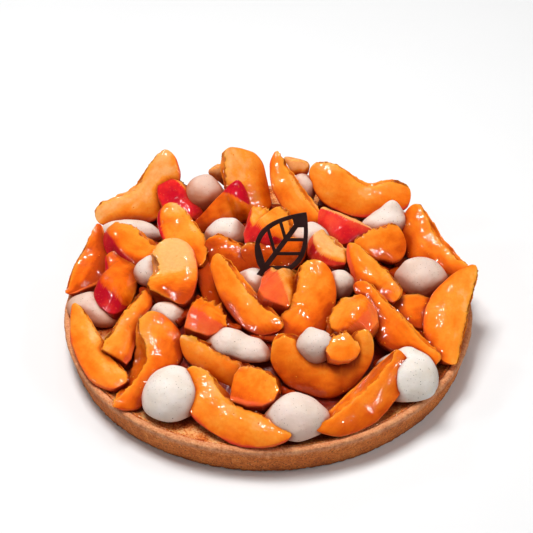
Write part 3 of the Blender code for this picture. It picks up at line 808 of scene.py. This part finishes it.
def slice_mesh(piece):
    """A wedge of the fruit, drawn from a ball whose poles become its two ends."""
    around = SKIN_POINTS + 2 * (CORNER_POINTS + FACE_POINTS) + HOLLOW_POINTS
    stations, place, seen = drawn_profile(piece, slice_frame(piece))
    first_x, last_x = stations[0][0], stations[-1][0]
    peeled = SKIN_SEEN.get(piece.name, (0.02, 0.02))
    sections = []
    for x, inner, outer in stations:
        taper = end_taper(piece, x, first_x, last_x)
        bare = peeled[0] + (peeled[1] - peeled[0]) * (x - first_x) / (last_x - first_x)
        sections.append(slice_section(piece, seen, taper, inner, outer, bare))
    bm = bmesh.new()
    bmesh.ops.create_uvsphere(bm, u_segments=around, v_segments=ALONG, radius=1)
    names = ("along", "skin", "hollow", "depth", "tear", "flesh", "blush", "across", "peeled")
    layers = {name: bm.verts.layers.float.new(name) for name in names}
    for vert in bm.verts:
        ring = round(math.acos(max(min(vert.co.z, 1), -1)) / math.pi * ALONG)
        spoke = round((math.atan2(vert.co.y, vert.co.x) % math.tau) / math.tau * around) % around
        y, z, skin, hollow, depth, tear = sections[ring][spoke]
        x = stations[ring][0]
        if ring in (0, ALONG):
            y = sum(point[0] for point in sections[ring]) / around
            z = sum(point[1] for point in sections[ring]) / around
        vert.co = (x, y, z)
        share = (x - first_x) / (last_x - first_x)
        bare = (peeled[0] + (peeled[1] - peeled[0]) * share) * (1 if y * seen > 0 else 0)
        ripe = piece.flesh[0] + (piece.flesh[1] - piece.flesh[0]) * share
        values = (x, skin, hollow, depth, tear, ripe, piece.blush, math.hypot(y, z), bare)
        for layer, value in zip(layers.values(), values):
            vert[layer] = value
    flesh = [vert for vert in bm.verts if vert[layers["skin"]] == 0]
    for _ in range(SOFT_ROUNDS):
        bmesh.ops.smooth_vert(
            bm, verts=flesh, factor=0.5, use_axis_x=True, use_axis_y=True, use_axis_z=True
        )
    face_outward(bm)
    seed = Vector((0, 0, int(piece.name) * 13))
    moves = []
    for vert in bm.verts:
        spot = vert.co / MM + seed
        hollow = vert[layers["hollow"]]
        lift = 0.8 * noise.noise(spot / 13) + 0.25 * noise.noise(spot / 5)
        lift += hollow * (0.6 * noise.noise(spot / 2.4) + 0.5 * abs(noise.noise(spot / 4)))
        thin = min((vert.co.x - first_x) / (3 * MM), (last_x - vert.co.x) / (3 * MM), 1)
        move = vert.normal * lift * max(thin, 0)
        tear = vert[layers["tear"]] * piece.torn * max(thin, 0)
        if tear:
            inward = Vector((0, -vert.co.y, -vert.co.z)).normalized()
            ragged = 1.2 * noise.noise(spot / 3.2) + 1.1 * abs(noise.noise(spot / 1.4))
            move += (inward * ragged + vert.normal * 0.35 * abs(ragged)) * tear
        moves.append((vert, move * MM))
    for vert, move in moves:
        vert.co += move
    bm.transform(place)
    for vert in bm.verts:
        vert.co.z = max(vert.co.z, resting_height(math.hypot(vert.co.x, vert.co.y)))
    return bm


fruit = glazed_apricot()
for piece in SLICES:
    name = "apricot_piece_" + piece.name
    piece_from(slice_mesh(piece), name, fruit, "slice_" + piece.name)

# Scraps of fruit
# Small bits of soft apricot lie on the compote in the gaps between the slices. They broke off as
# the fruit was cut and tossed in glaze, and each has rounded corners and torn sides.
SCRAP_COUNT = 170
SCRAP_REACH = 76 * MM
BACK_REACH = 1.2
GOLDEN_TURN = 2.39996


def scrap(bm, middle, size, twist, seed, layers, flesh):
    """One bit of fruit, squashed flat, with a few dents."""
    made = bmesh.ops.create_icosphere(bm, subdivisions=3, radius=1)["verts"]
    spin = Matrix.Rotation(twist, 3, "Z")
    for vert in made:
        way = vert.co.copy()
        dent = 1 + 0.42 * noise.noise(way * 1.3 + seed) + 0.12 * noise.noise(way * 4 + seed)
        way = Vector(max(min(c, 0.72), -0.72) for c in way) * dent * 1.25
        vert[layers["depth"]] = 0.3 + 0.4 * abs(way.z)
        vert[layers["tear"]] = max(noise.noise(way * 3 + seed), 0)
        vert[layers["flesh"]] = flesh
        vert[layers["along"]] = way.x * size.x
        vert[layers["across"]] = way.y * size.y
        vert.co = middle + spin @ Vector(a * b for a, b in zip(way, size))


graph = bpy.context.evaluated_depsgraph_get()
slice_trees = []
for piece in SLICES:
    made = bpy.data.objects["apricot_piece_" + piece.name]
    slice_trees.append((piece.name, BVHTree.FromObject(made, graph)))


def clear_of_slices(place, room):
    """True where a scrap of this size doesn't stand inside a slice or through its face."""
    for _, tree in slice_trees:
        distance = tree.find_nearest(place)[3]
        ceiling = tree.ray_cast(place, Vector((0, 0, 1)))[1]
        if distance < room or (ceiling is not None and ceiling.z > 0):
            return False
    return True


random.seed(11)
bm = bmesh.new()
names = ("along", "skin", "hollow", "depth", "tear", "flesh", "blush", "across", "peeled")
layers = {name: bm.verts.layers.float.new(name) for name in names}
for i in range(SCRAP_COUNT):
    reach = SCRAP_REACH * math.sqrt((i + 0.5) / SCRAP_COUNT)
    turn = i * GOLDEN_TURN + random.uniform(-0.1, 0.1)
    long = random.uniform(3.5, 6.5)
    size = Vector((long, long * random.uniform(0.5, 0.8), random.uniform(2.4, 4))) * MM
    height = filling_height(reach) + size.z * random.uniform(-0.4, 0.3)
    if math.sin(turn) > 0.4:
        reach *= BACK_REACH
        height = filling_height(reach) + size.z * 0.1
    middle = Vector((reach * math.cos(turn), reach * math.sin(turn), height))
    seed = Vector((i * 3.7, 0, 0))
    # The scraps get dark amber flesh, darkened as painted shade for the gaps they lie in.
    twist, flesh = random.uniform(0, math.tau), random.uniform(0.85, 1.15)
    if clear_of_slices(middle, 0.35 * long * MM):
        scrap(bm, middle, size, twist, seed, layers, flesh)
piece_from(bm, "fruit_scraps", fruit, None)

# Dollops of cream
# Vanilla cream was piped in blobs between the slices. It is thick, smooth and satin, with a
# faint yellow cast and fine dark specks of the pod. Each blob stands on the filling.
# Point is how pointed its two long ends are, pinch how much it narrows at the waist, and peak
# the way and the height of the tip where the spoon left it. Bounce shade is how much painted
# shade and orange light thrown from the fruit tint it pink-brown near its foot.
Dollop = namedtuple("Dollop", "name middle size turn point pinch peak stained")
DOLLOPS = [
    Dollop("01", (-72, 54, 22), (17, 8, 7.5), -10, 0.4, 0, (0, 0), 0.5),
    Dollop("02", (-33, 71, 34), (10.5, 10, 10), 0, 0, 0, (60, 1), 1.3),
    Dollop("03", (-87, -5, 18.5), (16, 10.5, 8.5), -25, 0.2, 0.1, (120, 1), 1.15),
    Dollop("04", (-58, 11, 29), (9.5, 9, 9), 0, 0.1, 0, (100, 1), 0.45),
    Dollop("05", (-49, -21, 28), (10, 8, 7.5), 0, 0.3, 0, (160, 1), 0.7),
    Dollop("06", (-15, -46, 30), (18, 9.5, 7.5), -30, 0.25, 0.18, (150, 1), 0.55),
    Dollop("07", (-21, 35, 34), (11, 10, 9), 0, 0.2, 0, (30, 1), 0.4),
    Dollop("08", (22, 28, 36), (11, 9, 8), 0, 0.2, 0, (90, 1), 0.6),
    Dollop("09", (20, 79, 31), (7, 8, 8), 0, 0, 0, (0, 0), 0.6),
    Dollop("10", (62, 44, 33), (14, 9, 7), 15, 0.5, 0, (55, 5), 0.45),
    Dollop("11", (77, 5, 28.5), (13.5, 12, 10), -10, 0.35, 0, (170, 1), 0.85),
    Dollop("12", (65.5, -59, 18.8), (16.5, 15.5, 13.5), -40, 0.2, 0, (130, 2), 0),
    Dollop("13", (12, -86, 19.4), (16.5, 12.5, 12.5), 0, 0.35, 0, (90, 1), 0.55),
    Dollop("14", (-46, -70, 20), (14.5, 15.5, 13.5), 0, 0, 0, (80, 1), 0.16),
    Dollop("15", (22, -54, 38), (9.5, 8, 8), 0, 0.2, 0, (120, 1.5), 0.45),
    Dollop("16", (36, -8, 36), (8, 7, 8), 0, 0.2, 0, (0, 0), 0.6),
    Dollop("17", (-8, -3, 33), (9, 9, 8), 0, 0.1, 0, (0, 0), 0.6),
]


def vanilla_cream():
    """Warm white cream with fine dark specks."""
    coat, tree, shader = new_coat("vanilla_cream")
    place = place_on_piece(tree)
    cast = mottle(tree, 11, detail=3)
    colour = between(tree, cast, paint(242, 235, 228), paint(228, 216, 202))
    patch = ramped(tree, mottle(tree, 5, detail=2), 0.3, 0.7, 0.4, 1)
    for scale, size, amount in ((380.0, 0.08, 0.95), (900.0, 0.16, 0.7)):
        cells = step(tree, "TexVoronoi", {"Vector": place, "Scale": scale})
        chosen = step(tree, "SeparateColor", {0: cells.outputs["Color"]}).outputs[0]
        seen = times(tree, ramped(tree, chosen, 0.5, 0.8), patch)
        dot = times(tree, ramped(tree, cells.outputs[0], size, size * 1.6, amount, 0), seen)
        colour = between(tree, dot, colour, paint(74, 52, 42))
    # Painted shade and orange bounce light: the cream is tinted pink-brown low on each blob, and more
    # where its neighbours close in over it.
    low = ramped(tree, sum_of(tree, trait(tree, "rise"), cast, 0.5), 0.2, 1.2, 1, 0)
    bounce_shade_tint = times(tree, ramped(tree, low, 0, 1, 0.4, 1), trait(tree, "stained"))
    colour = between(tree, bounce_shade_tint, colour, paint(208, 138, 104))
    gap_shade = ramped(tree, trait(tree, "closed"), 0.05, 0.45, 0, 0.9)
    colour = between(tree, gap_shade, colour, paint(186, 102, 64))
    tree.links.new(colour, shader.inputs["Base Color"])
    soft = relief(tree, mottle(tree, 4, detail=4), 0.15)
    tree.links.new(soft, shader.inputs["Normal"])
    tree.links.new(mottle(tree, 6, 0.34, 0.5), shader.inputs["Roughness"])
    shader.inputs["Subsurface Weight"].default_value = 0.35
    shader.inputs["Subsurface Scale"].default_value = 4 * MM
    shader.inputs["Subsurface Radius"].default_value = (1, 0.75, 0.55)
    return coat


def dollop_mesh(piece):
    """A blob that a spoon left on the filling: lumpy, sagged and drawn out at its tip."""
    middle = Vector(piece.middle) * MM
    wide, deep, tall = (size * MM for size in piece.size)
    bottom = filling_height(math.hypot(middle.x, middle.y)) - middle.z
    turn = Matrix.Rotation(math.radians(piece.turn), 3, "Z")
    tip_way, tip_height = piece.peak
    tip = Vector((math.cos(math.radians(tip_way)), math.sin(math.radians(tip_way)), 1.6)).normalized()
    seed = Vector((int(piece.name) * 31, 0, 0))
    bm = bmesh.new()
    bmesh.ops.create_uvsphere(bm, u_segments=96, v_segments=64, radius=1)
    rise = bm.verts.layers.float.new("rise")
    stained = bm.verts.layers.float.new("stained")
    for vert in bm.verts:
        way = vert.co.copy()
        vert[rise] = way.z
        vert[stained] = piece.stained
        waist = 1 - piece.pinch * math.exp(-((way.x - 0.15) / 0.25) ** 2)
        slim = (1 - piece.point * way.x**2) * waist
        height = way.z * tall * (0.4 + 0.6 * slim) if way.z > 0 else -way.z * bottom
        spot = middle + turn @ Vector((way.x * wide, way.y * deep * slim, height))
        where = spot / MM + seed
        lump = 1.1 * noise.noise(where / 13) + 0.3 * noise.noise(where / 5.5)
        lump += 0.07 * noise.noise(where / 1.8)
        lump += tip_height * math.exp(-(1 - way.dot(tip)) / 0.05)
        vert.co = spot + turn @ way * lump * MM
    return bm


cream = vanilla_cream()
for piece in DOLLOPS:
    name = "cream_dollop_" + piece.name
    piece_from(dollop_mesh(piece), name, cream, "cream_" + piece.name)

# Chocolate leaf
# The ornament is a thin openwork leaf of tempered dark chocolate, cut from a sheet. It is
# smooth and satin, and stands on its stem in a dollop of cream.
LEAF_LENGTH = 37 * MM
LEAF_WIDTH = 25 * MM
LEAF_STROKE = 2.6 * MM
LEAF_THICKNESS = 2 * MM
LEAF_VEIN_RISE = 0.75
LEAF_CELLS = 3
LEAF_STEM = 9 * MM
LEAF_FOOT = Vector((-3, -3, 41)) * MM
LEAF_LEAN = 38
LEAF_TURN = -38


def dark_chocolate():
    """Tempered dark chocolate with a faint bloom."""
    coat, tree, shader = new_coat("dark_chocolate")
    bloom = mottle(tree, 5, detail=4)
    colour = between(tree, bloom, paint(38, 18, 16), paint(52, 27, 24))
    tree.links.new(colour, shader.inputs["Base Color"])
    tree.links.new(mottle(tree, 3, 0.32, 0.46), shader.inputs["Roughness"])
    tree.links.new(relief(tree, mottle(tree, 1.5), 0.05), shader.inputs["Normal"])
    return coat


def leaf_half_width(share):
    """Half the leaf's width at this share of its length."""
    return LEAF_WIDTH / 2 * math.sin(math.pi * share**0.8) ** 0.9


def leaf_outline():
    """The leaf's outer edge and its stem."""
    shares = [i / 40 for i in range(2, 40)]
    right = [(leaf_half_width(s), s * LEAF_LENGTH) for s in shares]
    left = [(-x, y) for x, y in reversed(right)]
    half = LEAF_STROKE / 2
    stem = [(half, -LEAF_STEM), (half, 0.6 * half)]
    back = [(-half, 0.6 * half), (-half, -LEAF_STEM)]
    return [*stem, *right, (0, LEAF_LENGTH), *left, *back]


def leaf_opening(cell, side):
    """One opening, between the midrib, the edge and two side veins that slant up."""
    rise = (0.8 - 0.1) / LEAF_CELLS
    low = (0.1 + cell * rise) * LEAF_LENGTH
    high = low + rise * LEAF_LENGTH - LEAF_STROKE * 0.8
    inner = LEAF_STROKE / 2

    def edge(base):
        """Where a line that slants up from the midrib meets the edge."""
        x = inner
        for _ in range(40):
            share = min((base + LEAF_VEIN_RISE * x) / LEAF_LENGTH, 0.98)
            x = 0.5 * x + 0.5 * max(leaf_half_width(share) - LEAF_STROKE, inner)
        return x, base + LEAF_VEIN_RISE * x

    bottom, top = edge(low), edge(high)
    rim = []
    for i in range(1, 8):
        y = bottom[1] + (top[1] - bottom[1]) * i / 8
        rim.append((leaf_half_width(y / LEAF_LENGTH) - LEAF_STROKE, y))
    points = [(inner, low + LEAF_VEIN_RISE * inner), bottom, *rim, top]
    points.append((inner, high + LEAF_VEIN_RISE * inner))
    return [(side * x, y) for x, y in points]


curve = bpy.data.curves.new("leaf_drawing", "CURVE")
curve.dimensions = "2D"
curve.fill_mode = "BOTH"
curve.extrude = LEAF_THICKNESS / 2 - 0.25 * MM
curve.bevel_depth = 0.25 * MM
curve.bevel_resolution = 2
curve.offset = -0.25 * MM
outlines = [leaf_outline()]
outlines += [leaf_opening(cell, side) for cell in range(LEAF_CELLS) for side in (1, -1)]
for outline in outlines:
    spline = curve.splines.new("POLY")
    spline.points.add(len(outline) - 1)
    for point, (x, y) in zip(spline.points, outline):
        point.co = (x, y, 0, 1)
    spline.use_cyclic_u = True
drawing = bpy.data.objects.new("leaf_drawing", curve)
bpy.context.scene.collection.objects.link(drawing)
bm = bmesh.new()
graph = bpy.context.evaluated_depsgraph_get()
bm.from_mesh(bpy.data.meshes.new_from_object(drawing.evaluated_get(graph)))
bpy.data.objects.remove(drawing)
bmesh.ops.remove_doubles(bm, verts=bm.verts, dist=0.002 * MM)
lean = Matrix.Rotation(math.radians(90 - LEAF_LEAN), 4, "X")
swing = Matrix.Rotation(math.radians(LEAF_TURN), 4, "Z")
bm.transform(Matrix.Translation(LEAF_FOOT) @ lean @ swing)
leaf = piece_from(bm, "openwork_leaf", dark_chocolate(), "chocolate_leaf")
leaf.data.set_sharp_from_angle(angle=math.radians(35))

# Painted shade in the gaps
# Where the pieces close in on each other, the materials darken them as painted shade: a deep
# red-amber on the fruit and the filling, pink-brown on the cream. Each point carries how much of
# the space over it is filled by its neighbours.
GAP_REACH = 15 * MM
GAP_WAYS = 22
GAP_BLURS = 4

ways = []
for i in range(GAP_WAYS):
    rise = 1 - (2 * i + 1) / GAP_WAYS
    flat = math.sqrt(1 - rise * rise)
    ways.append(Vector((flat * math.cos(i * GOLDEN_TURN), flat * math.sin(i * GOLDEN_TURN), rise)))
heap = []
for made in bpy.data.objects:
    if made.name.startswith(("apricot_piece_", "cream_dollop_", "fruit_scraps", "jellied_filling")):
        heap.append(made.data)
corners, faces = [], []
for mesh in heap:
    first = len(corners)
    corners += [vert.co.copy() for vert in mesh.vertices]
    faces += [[first + i for i in face.vertices] for face in mesh.polygons]
neighbours = BVHTree.FromPolygons(corners, faces)
for mesh in heap:
    closed = np.zeros(len(mesh.vertices))
    for vert in mesh.vertices:
        normal = vert.normal
        place = vert.co + normal * 0.5 * MM
        open_ways, blocked = 0, 0
        for way in ways:
            if way.dot(normal) > 0.2:
                open_ways += 1
                distance = neighbours.ray_cast(place, way, GAP_REACH)[3]
                if distance is not None:
                    blocked += 1 - distance / GAP_REACH
        closed[vert.index] = blocked / max(open_ways, 1)
    ends = np.empty(2 * len(mesh.edges), dtype=int)
    mesh.edges.foreach_get("vertices", ends)
    for _ in range(GAP_BLURS):
        total, count = closed.copy(), np.ones(len(closed))
        for here, there in ((ends[::2], ends[1::2]), (ends[1::2], ends[::2])):
            np.add.at(total, here, closed[there])
            np.add.at(count, here, 1)
        closed = total / count
    mesh.attributes.new("closed", "FLOAT", "POINT").data.foreach_set("value", closed)

# Loose bits
# Beads of the clear glaze stand on the fruit where it was brushed on, and a few crumbs of the
# baked rim have fallen on the filling beside it.
BEAD_COUNT = 240
CRUMB_COUNT = 60


def small_lump(bm, middle, normal, size, flat, rough, seed):
    """A bead or a crumb of this radius, flattened along its normal."""
    lean = normal.to_track_quat("Z", "Y").to_matrix()
    for vert in bmesh.ops.create_icosphere(bm, subdivisions=2, radius=1)["verts"]:
        way = vert.co * (1 + rough * noise.noise(vert.co * 1.7 + seed))
        vert.co = middle + lean @ Vector((way.x, way.y, way.z * flat)) * size


random.seed(5)
bm = bmesh.new()
layers = {name: bm.verts.layers.float.new(name) for name in ("flesh", "depth", "blush")}
for i in range(BEAD_COUNT):
    reach = 98 * MM * math.sqrt((i + 0.5) / BEAD_COUNT)
    above = Vector((reach * math.cos(i * GOLDEN_TURN), reach * math.sin(i * GOLDEN_TURN), 0.2))
    size = random.uniform(0.2, 0.45) * MM
    hits = [(*tree.ray_cast(above, Vector((0, 0, -1))), name) for name, tree in slice_trees]
    hits = [hit for hit in hits if hit[0]]
    if not hits:
        continue
    spot, normal, _, _, name = max(hits, key=lambda hit: hit[0].z)
    if sum(SKIN_SEEN.get(name, (0, 0))) < 0.3 and normal.z > 0.3:
        small_lump(bm, spot, normal, size, 0.4, 0.3, Vector((i * 2.3, 0, 0)))
for vert in bm.verts:
    vert[layers["flesh"]] = 0.6
    vert[layers["depth"]] = 0.5
piece_from(bm, "glaze_beads", fruit, None)

bm = bmesh.new()
for i in range(CRUMB_COUNT):
    turn = random.uniform(0, math.tau)
    reach = random.uniform(88, 98) * MM
    middle = Vector((reach * math.cos(turn), reach * math.sin(turn), filling_height(reach)))
    size = random.uniform(0.35, 0.8) * MM
    small_lump(bm, middle, Vector((0, 0, 1)), size, 0.8, 0.7, Vector((0, i * 2.3, 0)))
piece_from(bm, "rim_crumbs", bpy.data.materials["baked_pastry"], None)

# Studio
# A plain pale floor, a broad soft box above and behind the tart, and a wide soft fill from the
# front. The camera looks down at the tart through a long lens.
bm = bmesh.new()
bmesh.ops.create_grid(bm, x_segments=8, y_segments=8, size=3)
mesh = bpy.data.meshes.new("floor")
bm.to_mesh(mesh)
bm.free()
coat, tree, shader = new_coat("pale_floor")
shader.inputs["Roughness"].default_value = 0.9
tree.links.new(
    between(tree, mottle(tree, 300), (0.8, 0.8, 0.8, 1), (0.83, 0.83, 0.83, 1)),
    shader.inputs["Base Color"],
)
mesh.materials.append(coat)
floor = bpy.data.objects.new("floor", mesh)
bpy.context.scene.collection.objects.link(floor)
floor.visible_glossy = False


def soft_box(name, place, wide, high, watts, mirrored=True):
    """A flat rectangular light that faces the tart."""
    lamp = bpy.data.lights.new(name, "AREA")
    lamp.shape = "RECTANGLE"
    lamp.size = wide
    lamp.size_y = high
    lamp.energy = watts
    made = bpy.data.objects.new(name, lamp)
    made.location = place
    way = Vector((0, 0, 0.03)) - Vector(place)
    made.rotation_euler = way.to_track_quat("-Z", "Y").to_euler()
    made.visible_glossy = mirrored
    bpy.context.scene.collection.objects.link(made)


soft_box("overhead_box", (-0.2, 0.15, 1.05), 0.4, 0.4, 10.6, mirrored=False)
soft_box("front_fill", (0.1, -1, 0.9), 0.8, 0.6, 1.1, mirrored=False)
soft_box("right_box", (0.9, 0.0, 0.75), 0.3, 0.3, 2.2, mirrored=False)
soft_box("top_sparkle", (-0.15, -0.1, 0.9), 0.05, 0.12, 0.7)
soft_box("left_sparkle", (-0.7, -0.2, 0.6), 0.04, 0.12, 0.7)
soft_box("back_sparkle", (-0.35, 0.8, 0.7), 0.12, 0.04, 0.9)
soft_box("high_sparkle", (0.2, 0.35, 0.95), 0.06, 0.05, 0.5)
soft_box("right_sparkle", (0.7, -0.35, 0.7), 0.04, 0.12, 0.8)

world = bpy.data.worlds.new("studio")
world.use_nodes = True
world.node_tree.nodes["Background"].inputs[0].default_value = (1, 1, 1, 1)
world.node_tree.nodes["Background"].inputs[1].default_value = 0.05
scene = bpy.context.scene
scene.world = world
scene.view_settings.view_transform = "Standard"
scene.cycles.use_denoising = True

lens = bpy.data.cameras.new("camera")
lens.lens = CAMERA_LENS
lens.sensor_width = 36
lens.clip_start = 0.01
camera = bpy.data.objects.new("camera", lens)
pitch = Matrix.Rotation(math.radians(90 - CAMERA_PITCH), 4, "X")
roll = Matrix.Rotation(math.radians(CAMERA_ROLL), 4, "Z")
camera.matrix_world = Matrix.Translation(CAMERA_PLACE) @ pitch @ roll
scene.collection.objects.link(camera)
scene.camera = camera
